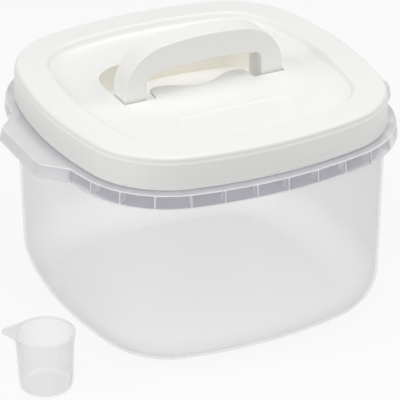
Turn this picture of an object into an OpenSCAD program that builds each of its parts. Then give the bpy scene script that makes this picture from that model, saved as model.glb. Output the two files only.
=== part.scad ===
// Clear keeper bin for dry rice: a square tub with bowed sides and a ribbed rim, a white press-on lid
// whose arched handle folds back into a pocket, and a small measuring cup that stands beside it.
// Every round of the bin is one plan outline, eight tangent arcs, moved in or out: the tub's wall, the rim,
// the lid's skirt, its border and its sunk panel are all sections swept along that outline.
// X runs along the handle, -Y is the front, Z is up, and the origin is the middle of the tub's base.

/* [Plan outline] */
// Width and depth of the plan, at the top edge of the lid
plan_w = 320; // [316:2:340]
// Radius of the plan's corners; the bow of the sides follows from it
corner_r = 86; // [82:1:94]

/* [Tub] */
// Height of the rim's top face above the base
rim_z = 194.3; // [170:0.1:230]
// Thickness of the tub's walls and floor
tub_wall = 2.4; // [2:0.1:3]
// Radius between the walls and the floor, outside
foot_r = 39; // [25:1:44]
// How far the walls lean in from the rim to the foot
tub_draft = 2.4; // [1:0.1:4]
// Thickness of the neck that stands up inside the lid, at its foot
neck_t = 2; // [1.6:0.1:2.6]
// Thickness of the neck at its tip
neck_tip_t = 1.4; // [1.2:0.1:1.8]

/* [Rim] */
// How far the rim reaches past the plan outline
rim_reach = 10.3; // [8:0.1:13]
// Height of the rim's hanging skirt
rim_h = 12.8; // [8:0.1:15]
// How far the rim's skirt leans out at its lower edge
rim_flare = 1.3; // [0.5:0.1:2]
// Thickness of the rim's plate and skirt
rim_t = 1.6; // [1.2:0.1:2]
// Thickness of the gussets under the rim
gusset_t = 1.4; // [1:0.1:2]
// Gussets along a quarter of the rim
gussets = 9; // [6:1:12]
// How far the gussets stand off the middle of each side, along the rim
gusset_shift = 2.5; // [0:0.5:4]

/* [Ear grips] */
// How far each ear grip reaches past the plan outline, at its top
ear_reach = 26; // [22:1:34]
// How far the ear's skirt leans out at its lower edge
ear_flare = 3; // [1:0.5:4]
// Width of the ear at its outer edge
ear_w = 84; // [70:1:96]
// Width of the ear where it leaves the rim
ear_root_w = 128; // [114:1:136]
// Radius of the ear's outer corners
ear_r = 6; // [3:0.5:10]

/* [Lid] */
// Height of the lid's border above the rim
lid_h = 33; // [32:0.1:40]
// Wall thickness of the lid
lid_t = 2.2; // [1.8:0.1:2.6]
// Width of the raised border
border_w = 31; // [26:0.5:36]
// Depth of the sunk panel below the border
panel_drop = 8.3; // [6:0.1:9]
// How far the skirt leans out at its lower edge
lid_flare = 2.4; // [2.2:0.1:3.2]
// Radius of the shoulder at the top of the skirt
shoulder_r = 3.5; // [2:0.5:4]
// Width of the small ledge below the shoulder
ledge_w = 0.8; // [0.4:0.1:1.2]
// Height of the ledge below the border
ledge_drop = 6.2; // [5.6:0.1:8]
// How far the sealing wall reaches down inside the neck
plug_depth = 4.5; // [3:0.5:7]
// Thickness of the sealing wall
plug_t = 1.8; // [1.4:0.1:2.2]
// Gap between the lid's skirt and the rim, where the neck carries the lid
skirt_gap = 1.3; // [0.3:0.1:2]
// Gap between the lid and the tub wherever they face each other
lid_gap = 0.3; // [0.3:0.05:0.4]

/* [Label recess] */
// Length of the bare stadium-shaped recess in the panel
label_l = 122; // [90:1:130]
// Width of the recess
label_w = 32; // [20:1:36]
// Depth of the recess
label_drop = 0.6; // [0.4:0.1:1.4]
// Distance of its middle in front of the handle's axis
label_y = 79; // [70:1:82]

/* [Handle] */
// Width of the handle over its feet
handle_w = 166.8; // [150:0.2:170]
// Front-to-back depth of the handle
handle_d = 25.4; // [22:0.2:27]
// Height of the crown above the panel
crown_h = 54; // [48:0.5:56]
// Radius of the crown
crown_r = 300; // [220:5:500]
// Radius of the shoulders
arch_r = 45; // [30:1:50]
// Width of the finger opening
finger_w = 122; // [100:1:126]
// Height of the finger opening above the panel
finger_h = 27.5; // [24:0.5:29]
// Radius of the finger opening's arched top
finger_arch_r = 400; // [200:10:800]
// Radius of the finger opening's upper corners
finger_r = 8; // [4:0.5:12]
// Wall thickness of the hollow handle
handle_t = 2.4; // [2:0.1:3]
// Spacing of the webs in the hollow back of the handle
web_pitch = 20; // [14:1:30]
// Radius of the hinge pins
pin_r = 4; // [3:0.1:5]
// Radial play of a pin in its hole
pin_play = 0.05; // [0.02:0.01:0.1]

/* [Pocket] */
// Gap between the handle's feet and the pocket's sides
foot_gap = 1.6; // [1:0.1:2.5]
// Gap in front of the handle's feet
front_gap = 2; // [1:0.1:3]
// Gap behind the folded handle's crown
crown_gap = 7; // [4:0.5:8]
// Gap between the folded handle and the pocket's floor
floor_gap = 0.8; // [0.5:0.1:1.5]
// Radius of the pocket's back corners
pocket_r = 35; // [20:1:40]
// Width of the tongue between the feet
tongue_w = 104; // [102:1:112]
// Reach of the tongue behind the handle's axis
tongue_reach = 8.3; // [5:0.1:10]
// Depth of the finger scoop in the tongue's back edge
scoop = 13.3; // [6:0.1:13.5]
// Length of the finger scoop at the tongue's edge, where its slopes start
scoop_w = 64; // [62:1:65]
// Length of the scoop's bottom
scoop_foot_w = 22; // [21:1:26]
// Radius where the scoop's slopes begin and end
scoop_r = 33; // [20:1:34]

/* [Measuring cup] */
// Radius of the cup's rim
cup_top_r = 28.2; // [26:0.1:32]
// Radius of the cup's base
cup_base_r = 24.6; // [21:0.1:25.6]
// Height of the cup
cup_h = 56.8; // [48:0.2:70]
// Wall thickness of the cup
cup_wall = 1.3; // [1:0.1:1.8]
// Radius round the cup's base
cup_foot_r = 4; // [2:0.5:6]
// Reach of the cup's tab past its rim
tab_reach = 11.5; // [8:0.5:20]
// Radius of the tab's tip
tab_tip_r = 4.5; // [3:0.5:6]
// Direction of the tab, from +X
tab_angle = 149; // [60:1:180]
// Place of the cup, sideways
cup_x = -212; // [-260:1:-206]
// Place of the cup, front to back
cup_y = -103.5; // [-160:0.5:-90]

/* [Hidden] */

$fn = 96;
overlap = 1;
clear_white = [0.86, 0.87, 0.92, 0.45];
clear_cup = [0.90, 0.91, 0.93, 0.45];
lid_white = [0.97, 0.97, 0.95];
handle_white = [0.95, 0.95, 0.93];

// The plan outline. The line of centres where a side arc meets a corner arc is the long side of a 9-40-41
// triangle, so the arcs' radii, centres and joints are all round numbers and the arcs meet exactly.
half = plan_w / 2;
unit_l = (half - corner_r) / 10;
corner_c = 9 * unit_l;
bow = 31 * unit_l;
side_r = half + bow;
side_span = atan2(9, 40);
corner_span = 90 - 2 * side_span;
// A section reaches inwards to hub from the outline, and a square block fills what is left in the middle
hub = corner_r - 4;
core = half - hub + overlap;

// Heights
border_z = rim_z + lid_h;
slot_z = border_z - shoulder_r;
neck_z = slot_z - lid_gap;
skirt_z = rim_z + skirt_gap;
panel_z = border_z - panel_drop;
hinge_z = panel_z - handle_d / 2;
pocket_z = hinge_z - handle_d / 2 - floor_gap;
ledge_z = border_z - ledge_drop;
crown_z = panel_z + crown_h;
finger_z = panel_z + finger_h;
skirt_foot_z = rim_z - rim_h;
gusset_z = skirt_foot_z + 0.6;

// Offsets from the plan outline, outwards positive
wall_top = 0.4;
wall_foot = wall_top - tub_draft;
neck_in = wall_top - tub_wall;
neck_out = neck_in + neck_t;
neck_lean = 1.2;
tip_in = neck_in - neck_lean;
tip_out = tip_in + neck_tip_t;
neck_edge = 0.5;
edge_r = 0.4;
skirt_lip = neck_out + lid_gap + 0.1;
plug_out = tip_in - lid_gap;
plug_in = plug_out - plug_t;
plug_z = neck_z - plug_depth;
plug_edge_r = 0.5;
recess_lean = 2;
recess_foot = -border_w - recess_lean;
recess_foot_r = 4;
border_rise = 0.6;
border_edge_r = 3;
ledge_out = ledge_w + lid_gap;
slot_out = tip_out + lid_gap;
foot_mid = wall_foot - foot_r;

// The ear grip's corners: where its slanted sides leave the rim, and how far they turn at its outer edge
ear_root_x = sqrt(pow(side_r + rim_reach, 2) - pow(ear_root_w / 2, 2)) - bow;
ear_tip_x = half + ear_reach;
ear_slope = (ear_root_w - ear_w) / 2 / (ear_tip_x - ear_root_x);
ear_turn = 90 - atan(ear_slope);
ear_corner_y = ear_w / 2 - ear_r * tan(ear_turn / 2);

// The handle's other surfaces
handle_front = -handle_d / 2;
pin_hole_r = pin_r + pin_play;
pin_boss_r = pin_r + 3.5;
tongue_end_r = 8;
tongue_lean = 2;
pocket_half = handle_w / 2 + foot_gap;
pocket_front = handle_front - front_gap;
pocket_back = crown_z - hinge_z + crown_gap;
boss_face = pocket_half + lid_t + 2.4;
boss_l = boss_face - pocket_half;
web_t = 1.6;
web_set_back = 3;
foot_solid = pin_r + 3;
foot_web_z = 2.8;
foot_web_pitch = finger_h / 2;

function unit(v) = v / norm(v);
function turn(v) = atan2(v[1], v[0]);
function spoke(a) = [cos(a), sin(a)];
// The short way round from angle a to angle b
function swing(a, b) = (b - a + 540) % 360 - 180;
// One corner of an outline, at b between a and c, rounded to the radius in b[2]
function corner(a, b, c, steps) =
    let(at = [b[0], b[1]], u = unit([a[0], a[1]] - at), v = unit([c[0], c[1]] - at))
    let(lean = acos(u * v) / 2, mid = at + unit(u + v) * b[2] / sin(lean))
    let(reach = b[2] / tan(lean), from = turn(at + u * reach - mid), to = turn(at + v * reach - mid))
    b[2] == 0 ? [at] :
    [for (k = [0:steps]) mid + b[2] * spoke(from + swing(from, to) * k / steps)];
// An outline from corners [x, y, radius]
function rounded(p, steps = 6) =
    [for (k = [0:len(p) - 1]) each corner(p[(k + len(p) - 1) % len(p)], p[k], p[(k + 1) % len(p)], steps)];

// A swept section, turned a little too far at both ends and cut back to the joints at a and b, seen from at
module swept(at, r, low, high, a, b) {
    intersection() {
        translate([at[0], at[1], 0])
            rotate_extrude(angle = high - low, start = low) translate([r, 0]) children();
        translate([0, 0, -1]) linear_extrude(border_z + crown_h) polygon([at, at + a, at + b]);
    }
}

// Sweeps a section, x outwards from the plan outline and y up, once round the bin
module round_the_plan() {
    spare = 2;
    for (quarter = [0:3])
        rotate(90 * quarter) {
            swept([-bow, 0], side_r, -side_span - spare, side_span + spare,
                2 * unit_l * [40, -9], 2 * unit_l * [40, 9]) children();
            swept([corner_c, corner_c], corner_r, side_span - spare, 90 - side_span + spare,
                unit_l / 2 * [40, 9], unit_l / 2 * [9, 40]) children();
        }
}

// A block over the middle that the swept sections leave open
module middle(low, high) {
    translate([-core, -core, low]) cube([2 * core, 2 * core, high - low]);
}

// Puts a child, drawn along +X from the plan outline, at distance s along one quarter of the rim
module along_rim(s) {
    mid_r = rim_reach / 2;
    side_run = (side_r + mid_r) * side_span * PI / 180;
    corner_run = (corner_r + mid_r) * corner_span * PI / 180;
    if (s <= side_run)
        translate([-bow, 0, 0]) rotate(s / side_run * side_span) translate([side_r, 0, 0]) children();
    else if (s <= side_run + corner_run)
        translate([corner_c, corner_c, 0]) rotate(side_span + (s - side_run) / corner_run * corner_span)
            translate([corner_r, 0, 0]) children();
    else
        translate([0, -bow, 0]) rotate(90 + (s - 2 * side_run - corner_run) / side_run * side_span)
            translate([side_r, 0, 0]) children();
}

// Length of a quarter of the rim, measured half way across it
function rim_quarter() =
    let(mid_r = rim_reach / 2)
    ((side_r + mid_r) * 2 * side_span + (corner_r + mid_r) * corner_span) * PI / 180;

// Half of the tub's section as if it were solid, its surface moved in by inset
module tub_solid_section(inset) {
    polygon([
        [-hub - inset, inset], [foot_mid, inset], [foot_mid, foot_r], [wall_foot - inset, foot_r],
        [wall_top - inset, rim_z + inset], [-hub - inset, rim_z + inset]
    ]);
    intersection() {
        translate([foot_mid, foot_r]) circle(foot_r - inset);
        translate([foot_mid, 0]) square(foot_r);
    }
}

// Section of the wall, the rounded foot and the floor
module tub_wall_section() {
    difference() {
        tub_solid_section(0);
        tub_solid_section(tub_wall);
    }
}

// Section of the neck that stands up inside the lid's skirt and carries the lid
module neck_section() {
    polygon([
        [neck_in, rim_z - rim_t], [neck_out, rim_z - rim_t], [neck_out, rim_z], [tip_out, neck_z - neck_edge],
        [tip_out - neck_edge, neck_z], [tip_in + neck_edge / 2, neck_z], [tip_in, neck_z - neck_edge],
        [neck_in, rim_z]
    ]);
}

// Section of the rim or an ear: a flat plate from root to edge, and a skirt that hangs from its edge
module rim_section(root, edge, flare) {
    lip = edge + flare;
    polygon(rounded([
        [root, rim_z, 0], [edge, rim_z, rim_t * 0.75], [lip, skirt_foot_z, edge_r],
        [lip - rim_t, skirt_foot_z, edge_r], [edge - rim_t, rim_z - rim_t, rim_t / 2],
        [root, rim_z - rim_t, 0]
    ], 3));
}

// One gusset between the wall and the rim's skirt
module gusset() {
    root = -tub_wall / 2;
    out = rim_reach - rim_t / 2;
    translate([0, gusset_t / 2, 0]) rotate([90, 0, 0]) linear_extrude(gusset_t) polygon([
        [root, rim_z - overlap], [out, rim_z - overlap], [out + rim_flare, gusset_z], [root, gusset_z]
    ]);
}

// Section of an ear's edge, x outwards from the ear's outline
module ear_edge_section() {
    rim_section(-ear_r * 0.9, 0, ear_flare);
}

// Half of an ear's edge on its left-hand side, from the middle of its outer edge round the corner to the rim
module ear_edge() {
    root = [ear_root_x, ear_root_w / 2];
    side_l = norm(root - [ear_tip_x, ear_w / 2]) + 2 * ear_flare;
    translate([ear_tip_x, ear_corner_y, 0]) rotate([90, 0, 0])
        linear_extrude(ear_corner_y + overlap) ear_edge_section();
    translate([ear_tip_x - ear_r, ear_corner_y, 0]) {
        rotate_extrude(angle = ear_turn) translate([ear_r, 0]) ear_edge_section();
        rotate(ear_turn) translate([ear_r, side_l, 0]) rotate([90, 0, 0])
            linear_extrude(side_l) ear_edge_section();
    }
}

// Ribs across the space under an ear, in line with the gussets of the rim
module ear_ribs() {
    pitch = rim_quarter() / gussets;
    ribs = floor((ear_w / 2 - ear_r - gusset_shift) / pitch);
    reach = ear_reach - rim_t / 2;
    intersection() {
        for (k = [-ribs:ribs])
            along_rim(k * pitch + gusset_shift) translate([0, -gusset_t / 2, gusset_z])
                cube([ear_reach * 2, gusset_t, rim_z - rim_t / 2 - gusset_z]);
        translate([half, ear_w / 2, 0]) rotate([90, 0, 0]) linear_extrude(ear_w) polygon([
            [0, skirt_foot_z], [reach + ear_flare, skirt_foot_z], [reach, rim_z], [0, rim_z]
        ]);
    }
}

// Plan of an ear's plate, its edge moved in by the thickness of the skirt
module ear_plate() {
    root_x = half + rim_reach / 5;
    edge_x = ear_tip_x - rim_t;
    slack = rim_t * norm([1, ear_slope]);
    function ear_y(x) = ear_root_w / 2 - (x - ear_root_x) * ear_slope - slack;
    polygon(rounded([
        [root_x, -ear_y(root_x), 0], [edge_x, -ear_y(edge_x), ear_r - rim_t / 2],
        [edge_x, ear_y(edge_x), ear_r - rim_t / 2], [root_x, ear_y(root_x), 0]
    ]));
}

// Ear grip on the +X side: a plate level with the rim, with a leaning skirt round it and ribs below it
module ear() {
    ring_r = side_r + rim_reach - rim_t / 4;
    translate([0, 0, rim_z - rim_t]) linear_extrude(rim_t) ear_plate();
    difference() {
        union() {
            ear_edge();
            mirror([0, 1, 0]) ear_edge();
            ear_ribs();
        }
        translate([-bow, 0, skirt_foot_z - overlap])
            cylinder(h = rim_h + 2 * overlap, r = ring_r, $fn = 720);
    }
}

// Clear tub, moulded in one with its rim, gussets and ear grips
module tub() {
    color(clear_white) {
        round_the_plan() union() {
            tub_wall_section();
            neck_section();
        }
        middle(0, tub_wall);
        round_the_plan() rim_section(neck_in + neck_t / 2, rim_reach, rim_flare);
        for (quarter = [0:3], k = [0:gussets - 1])
            rotate(90 * quarter) along_rim(k * rim_quarter() / gussets + gusset_shift) gusset();
        for (side = [0, 180]) rotate(side) ear();
    }
}

// Section of the lid, from the lip of its skirt over the border and down into the sunk panel
module lid_section() {
    plate_z = panel_z - lid_t;
    border_in = border_z + border_rise;
    polygon(rounded([
        [skirt_lip, skirt_z, edge_r], [lid_flare, skirt_z, edge_r], [ledge_out, ledge_z, edge_r],
        [ledge_out - ledge_w, ledge_z + ledge_w, edge_r], [0, border_z, shoulder_r],
        [-border_w, border_in, border_edge_r], [recess_foot, panel_z, recess_foot_r], [-hub, panel_z, 0],
        [-hub, plate_z, 0], [recess_foot + lid_t, plate_z, recess_foot_r / 2],
        [-border_w + lid_t, border_in - lid_t, border_edge_r], [plug_in, border_z - lid_t, plug_edge_r],
        [plug_in, plug_z, plug_edge_r], [plug_out, plug_z, plug_edge_r], [plug_out, slot_z, edge_r],
        [slot_out, slot_z, edge_r]
    ], 4));
}

// An arch from low up to top: crown, shoulders and straight sides, tangent to each other
module arch(w, top, big_r, small_r, low) {
    side_mid = w / 2 - small_r;
    rise = sqrt(pow(big_r - small_r, 2) - side_mid * side_mid);
    big_mid = top - big_r;
    spread = side_mid / rise;
    wide = (low - big_mid) * spread;
    far = 2 * rise;
    intersection() {
        translate([0, big_mid]) circle(big_r, $fn = 720);
        polygon([
            [-wide, low], [wide, low], [far * spread, big_mid + far], [-far * spread, big_mid + far]
        ]);
    }
    for (side = [-1, 1]) translate([side * side_mid, big_mid + rise]) circle(small_r);
    translate([-w / 2, low]) square([w, big_mid + rise - low]);
}

// Plan of the pocket, shaped like the folded handle and grown by grow on every side
module pocket_outline(grow) {
    arch(2 * (pocket_half + grow), pocket_back + grow, crown_r + grow, pocket_r + grow, pocket_front - grow);
}

// Plan of the tongue between the handle's feet, its back edge scooped out in a wave for the fingertips
module tongue_outline() {
    root_y = pocket_front - lid_t / 2;
    end_x = tongue_w / 2;
    scoop_y = tongue_reach - scoop;
    polygon(rounded([
        [-end_x, root_y, 0], [end_x, root_y, 0], [end_x - tongue_lean, tongue_reach, tongue_end_r],
        [scoop_w / 2, tongue_reach, scoop_r], [scoop_foot_w / 2, scoop_y, scoop_r],
        [-scoop_foot_w / 2, scoop_y, scoop_r], [-scoop_w / 2, tongue_reach, scoop_r],
        [tongue_lean - end_x, tongue_reach, tongue_end_r]
    ]));
}

// Plan of the label recess
module stadium(grow) {
    end_x = (label_l - label_w) / 2;
    translate([0, -label_y]) {
        square([2 * end_x, label_w + 2 * grow], center = true);
        for (side = [-1, 1]) translate([side * end_x, 0]) circle(label_w / 2 + grow);
    }
}

// A round bar along X, from x to x + length, on the handle's axis
module axis_bar(x, length, r) {
    translate([x, 0, hinge_z]) rotate([0, 90, 0]) cylinder(h = length, r = r);
}

// White lid: skirt, border, sunk panel, sealing wall, and the pocket that the handle folds into
module lid() {
    color(lid_white) difference() {
        union() {
            difference() {
                union() {
                    round_the_plan() lid_section();
                    middle(panel_z - lid_t, panel_z);
                    translate([0, 0, panel_z - lid_t - label_drop])
                        linear_extrude(label_drop + overlap) stadium(lid_t);
                }
                translate([0, 0, panel_z - lid_t - 1]) linear_extrude(lid_t + 2) pocket_outline(0);
            }
            difference() {
                translate([0, 0, pocket_z - lid_t])
                    linear_extrude(panel_z - pocket_z + lid_t / 2) pocket_outline(lid_t);
                translate([0, 0, pocket_z]) linear_extrude(panel_z) pocket_outline(0);
            }
            translate([0, 0, panel_z - lid_t]) linear_extrude(lid_t) tongue_outline();
            axis_bar(pocket_half, boss_l, pin_boss_r);
            axis_bar(-boss_face, boss_l, pin_boss_r);
        }
        translate([0, 0, panel_z - label_drop]) linear_extrude(label_drop + 1) stadium(0);
        axis_bar(pocket_half - 1, boss_l + 2, pin_hole_r);
        axis_bar(-boss_face - 1, boss_l + 2, pin_hole_r);
    }
}

// Front view of the handle, its edges moved in by inset
module handle_face(inset) {
    low = hinge_z - handle_d;
    difference() {
        arch(handle_w - 2 * inset, crown_z - inset, crown_r - inset, arch_r - inset, low);
        arch(finger_w + 2 * inset, finger_z + inset, finger_arch_r + inset, finger_r + inset, low - overlap);
    }
}

// The handle's front view as a solid, from y to the back face
module handle_blank(inset, y) {
    translate([0, handle_d / 2, 0]) rotate([90, 0, 0]) linear_extrude(handle_d / 2 - y) handle_face(inset);
}

// The hollow in the handle's back, over its solid feet
module handle_hollow() {
    intersection() {
        handle_blank(handle_t, handle_front + handle_t);
        translate([-handle_w, -handle_d, hinge_z + foot_solid])
            cube([2 * handle_w, 2 * handle_d, crown_h * 2]);
    }
}

// White handle: an arched channel, open at its back, with webs, rounded feet and a pin on each foot
module handle() {
    web_d = handle_d - handle_t - web_set_back;
    webs = floor((finger_w / 2 - finger_r) / web_pitch);
    color(handle_white) {
        difference() {
            intersection() {
                handle_blank(0, handle_front);
                translate([-handle_w, 0, 0]) rotate([90, 0, 90]) linear_extrude(2 * handle_w) {
                    translate([0, hinge_z]) circle(handle_d / 2);
                    translate([handle_front, hinge_z]) square([handle_d, crown_h * 2]);
                }
            }
            handle_hollow();
        }
        intersection() {
            handle_blank(handle_t / 2, handle_front + handle_t / 2);
            union() {
                for (k = [-webs:webs])
                    translate([k * web_pitch - web_t / 2, handle_front, finger_z])
                        cube([web_t, web_d + handle_t, crown_h]);
                for (k = [0, 1])
                    translate([-handle_w / 2, handle_front, panel_z + foot_web_z + foot_web_pitch * k])
                        cube([handle_w, web_d + handle_t, web_t]);
            }
        }
        pin_l = boss_face - handle_w / 2;
        axis_bar(handle_w / 2 - overlap, pin_l + overlap, pin_r);
        axis_bar(-boss_face, pin_l + overlap, pin_r);
    }
}

// Section of the measuring cup
module cup_section() {
    lip = 0.8;
    lip_h = 2.4;
    under = cup_h - lip_h;
    polygon(rounded([
        [0, 0, 0], [cup_base_r, 0, cup_foot_r], [cup_top_r - lip, under, 0],
        [cup_top_r, under + lip / 2, lip / 4], [cup_top_r, cup_h, edge_r],
        [cup_top_r - lip - cup_wall, cup_h, edge_r],
        [cup_base_r - cup_wall, cup_wall, cup_foot_r - cup_wall / 2], [0, cup_wall, 0]
    ]));
}

// Clear measuring cup with a flat, leaf-shaped tab whose sides run off its rim
module measuring_cup() {
    tab_t = 1.6;
    root_r = cup_top_r - edge_r;
    narrow = asin((root_r - tab_tip_r) / (cup_top_r + tab_reach - tab_tip_r));
    root = root_r * [sin(narrow), cos(narrow)];
    color(clear_cup) translate([cup_x, cup_y, 0]) {
        rotate_extrude() cup_section();
        difference() {
            translate([0, 0, cup_h - tab_t]) rotate(tab_angle) linear_extrude(tab_t) polygon(rounded([
                [root[0], -root[1], 0], [root_r / sin(narrow), 0, tab_tip_r], [root[0], root[1], 0]
            ]));
            cylinder(h = cup_h + overlap, r = cup_top_r - cup_wall);
        }
    }
}

tub();
lid();
handle();
measuring_cup();
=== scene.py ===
import math

import bmesh
import bpy
from mathutils import Matrix, Vector


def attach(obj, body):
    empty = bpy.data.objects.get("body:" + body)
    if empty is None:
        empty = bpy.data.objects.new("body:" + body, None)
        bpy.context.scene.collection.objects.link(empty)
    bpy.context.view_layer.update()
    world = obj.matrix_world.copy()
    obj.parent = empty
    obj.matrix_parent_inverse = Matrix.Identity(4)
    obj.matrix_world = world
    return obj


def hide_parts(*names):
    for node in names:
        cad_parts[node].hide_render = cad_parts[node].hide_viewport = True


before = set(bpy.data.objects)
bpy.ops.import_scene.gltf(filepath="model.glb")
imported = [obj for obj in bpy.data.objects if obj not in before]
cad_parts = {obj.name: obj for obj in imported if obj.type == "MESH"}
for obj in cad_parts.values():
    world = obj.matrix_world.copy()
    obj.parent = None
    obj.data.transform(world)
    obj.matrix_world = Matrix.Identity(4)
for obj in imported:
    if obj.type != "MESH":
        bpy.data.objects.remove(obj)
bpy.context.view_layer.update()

# --------------------------------------------------------------------------------------------------
# Tub wall and neck. One clear polypropylene shell, injection moulded: bowed sides, a wide round
# foot, and a thin neck that stands up inside the lid and carries it. Every round of the bin follows
# one plan outline of eight tangent arcs, so a section is spun about each arc's centre in turn.
# --------------------------------------------------------------------------------------------------
MM = 0.001  # every size is in millimetres, and Blender's unit is the metre
MERGE = 0.001 * MM
FINE_MERGE = 0.0002 * MM
CREASE = math.radians(32)  # edges bent more than this stay sharp

PLAN_HALF = 160.0
CORNER_R = 86.0
SHORT, LONG, SLANT = 9, 40, 41  # the right triangle on which the side and corner arcs meet exactly
UNIT = (PLAN_HALF - CORNER_R) / (SLANT - LONG + SHORT)
CORNER_C = SHORT * UNIT  # the corner arc's centre, in X and in Y
BOW = (LONG - SHORT) * UNIT  # how far past the middle a side arc has its centre
SIDE_R = PLAN_HALF + BOW
SIDE_SPAN = math.atan2(SHORT, LONG)  # half of a side arc
CORNER_SPAN = math.pi / 2 - 2 * SIDE_SPAN
SIDE_STEPS = 12
CORNER_STEPS = 20

RIM_Z = 194.3
LID_H = 33.0
BORDER_Z = RIM_Z + LID_H
SHOULDER_R = 3.5
LID_GAP = 0.3  # the air between the lid and the neck
SLOT_Z = BORDER_Z - SHOULDER_R
TUB_WALL = 2.4
FOOT_R = 39.0
FOOT_STEPS = 12
WALL_TOP = 0.4  # the wall's place against the plan outline, at the rim and at the foot
WALL_FOOT = -2.0
FOOT_MID = WALL_FOOT - FOOT_R
NECK_T = 2.0
NECK_LEAN = 1.2
TIP_T = 1.4
NECK_Z = SLOT_Z - LID_GAP
NECK_IN = WALL_TOP - TUB_WALL
NECK_OUT = NECK_IN + NECK_T
TIP_IN = NECK_IN - NECK_LEAN
TIP_OUT = TIP_IN + TIP_T
NECK_EDGE = 0.5
ROOT_H = 19.0  # the band of wall behind the rim, tinted dark violet as painted shade under the rim
ROOT_Z = RIM_Z - ROOT_H


def rounded(corners, steps=5):
    """An outline through corners (x, y, radius), each rounded off by an arc of that radius."""
    outline = []
    for at, here in enumerate(corners):
        mid = Vector(here[:2])
        if here[2] == 0:
            outline.append(mid)
            continue
        back = (Vector(corners[at - 1][:2]) - mid).normalized()
        ahead = (Vector(corners[(at + 1) % len(corners)][:2]) - mid).normalized()
        lean = math.acos(max(-1.0, min(1.0, back.dot(ahead)))) / 2
        centre = mid + (back + ahead).normalized() * here[2] / math.sin(lean)
        reach = here[2] / math.tan(lean)
        start = mid + back * reach - centre
        turn = start.angle_signed(mid + ahead * reach - centre)
        for step in range(steps + 1):
            spoke = start.copy()
            spoke.rotate(Matrix.Rotation(-turn * step / steps, 2))
            outline.append(centre + spoke)
    return outline


def spin_round(bm, section, closed):
    """Spins a section of (offset out from the plan outline, height) once round the bin."""
    verts = []
    for offset, height in section:
        reach = SIDE_R + offset
        spot = (reach * math.cos(SIDE_SPAN) - BOW, -reach * math.sin(SIDE_SPAN), height)
        verts.append(bm.verts.new(Vector(spot) * MM))
    last = len(verts) if closed else len(verts) - 1
    edges = [bm.edges.new((verts[k], verts[(k + 1) % len(verts)])) for k in range(last)]
    line = verts + edges
    arcs = (
        (Vector((-BOW, 0, 0)), 2 * SIDE_SPAN, SIDE_STEPS),
        (Vector((CORNER_C, CORNER_C, 0)), CORNER_SPAN, CORNER_STEPS),
    )
    for quarter in range(4):
        quarter_turn = Matrix.Rotation(quarter * math.pi / 2, 3, "Z")
        for centre, span, steps in arcs:
            made = bmesh.ops.spin(
                bm, geom=line, cent=quarter_turn @ centre * MM, axis=(0, 0, 1), dvec=(0, 0, 0),
                angle=span, steps=steps, use_merge=False, use_normal_flip=False,
                use_duplicate=False,
            )
            line = made["geom_last"]
    bmesh.ops.remove_doubles(bm, verts=bm.verts, dist=MERGE)


def as_piece(name, bm):
    """Closes a bmesh, turns its faces outwards and makes it an object."""
    open_edges = [edge for edge in bm.edges if edge.is_boundary]
    if open_edges:
        bmesh.ops.holes_fill(bm, edges=open_edges, sides=0)
    bmesh.ops.recalc_face_normals(bm, faces=bm.faces)
    mesh = bpy.data.meshes.new(name)
    bm.to_mesh(mesh)
    bm.free()
    piece = bpy.data.objects.new(name, mesh)
    bpy.context.scene.collection.objects.link(piece)
    return piece


def spun_piece(name, section, closed=False):
    """A piece made by spinning one section round the bin."""
    bm = bmesh.new()
    spin_round(bm, section, closed)
    return as_piece(name, bm)


def in_order(mesh):
    """The same mesh with its corners and faces numbered by place, alike on every run."""
    corners = sorted(mesh.vertices, key=lambda vert: vert.co[:])
    number = {vert.index: rank for rank, vert in enumerate(corners)}
    rings = []
    for face in mesh.polygons:
        ring = [number[index] for index in face.vertices]
        first = ring.index(min(ring))
        rings.append(ring[first:] + ring[:first])
    ordered = bpy.data.meshes.new(mesh.name)
    ordered.from_pydata([vert.co[:] for vert in corners], [], sorted(rings))
    bpy.data.meshes.remove(mesh)
    return ordered


def join_cut(piece, tool, operation="UNION"):
    """Joins a piece with a tool, or cuts it, and takes the tool away."""
    step = piece.modifiers.new("step", "BOOLEAN")
    step.operation = operation
    step.solver = "EXACT"
    step.object = tool
    bpy.context.view_layer.update()
    seen = piece.evaluated_get(bpy.context.evaluated_depsgraph_get())
    made = in_order(bpy.data.meshes.new_from_object(seen))
    piece.modifiers.clear()
    before = piece.data
    piece.data = made
    bpy.data.meshes.remove(before)
    spent = tool.data
    bpy.data.objects.remove(tool)
    bpy.data.meshes.remove(spent)
    return piece


def smooth_off(piece):
    """Shades a piece smooth, keeps its creases, and lets its big flat faces rule the shading."""
    bm = bmesh.new()
    bm.from_mesh(piece.data)
    bmesh.ops.remove_doubles(bm, verts=bm.verts, dist=FINE_MERGE)
    for face in bm.faces:
        face.smooth = True
    for edge in bm.edges:
        edge.smooth = edge.is_manifold and edge.calc_face_angle(0) < CREASE
    bm.to_mesh(piece.data)
    bm.free()
    even = piece.modifiers.new("even_shading", "WEIGHTED_NORMAL")
    even.keep_sharp = True


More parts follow.
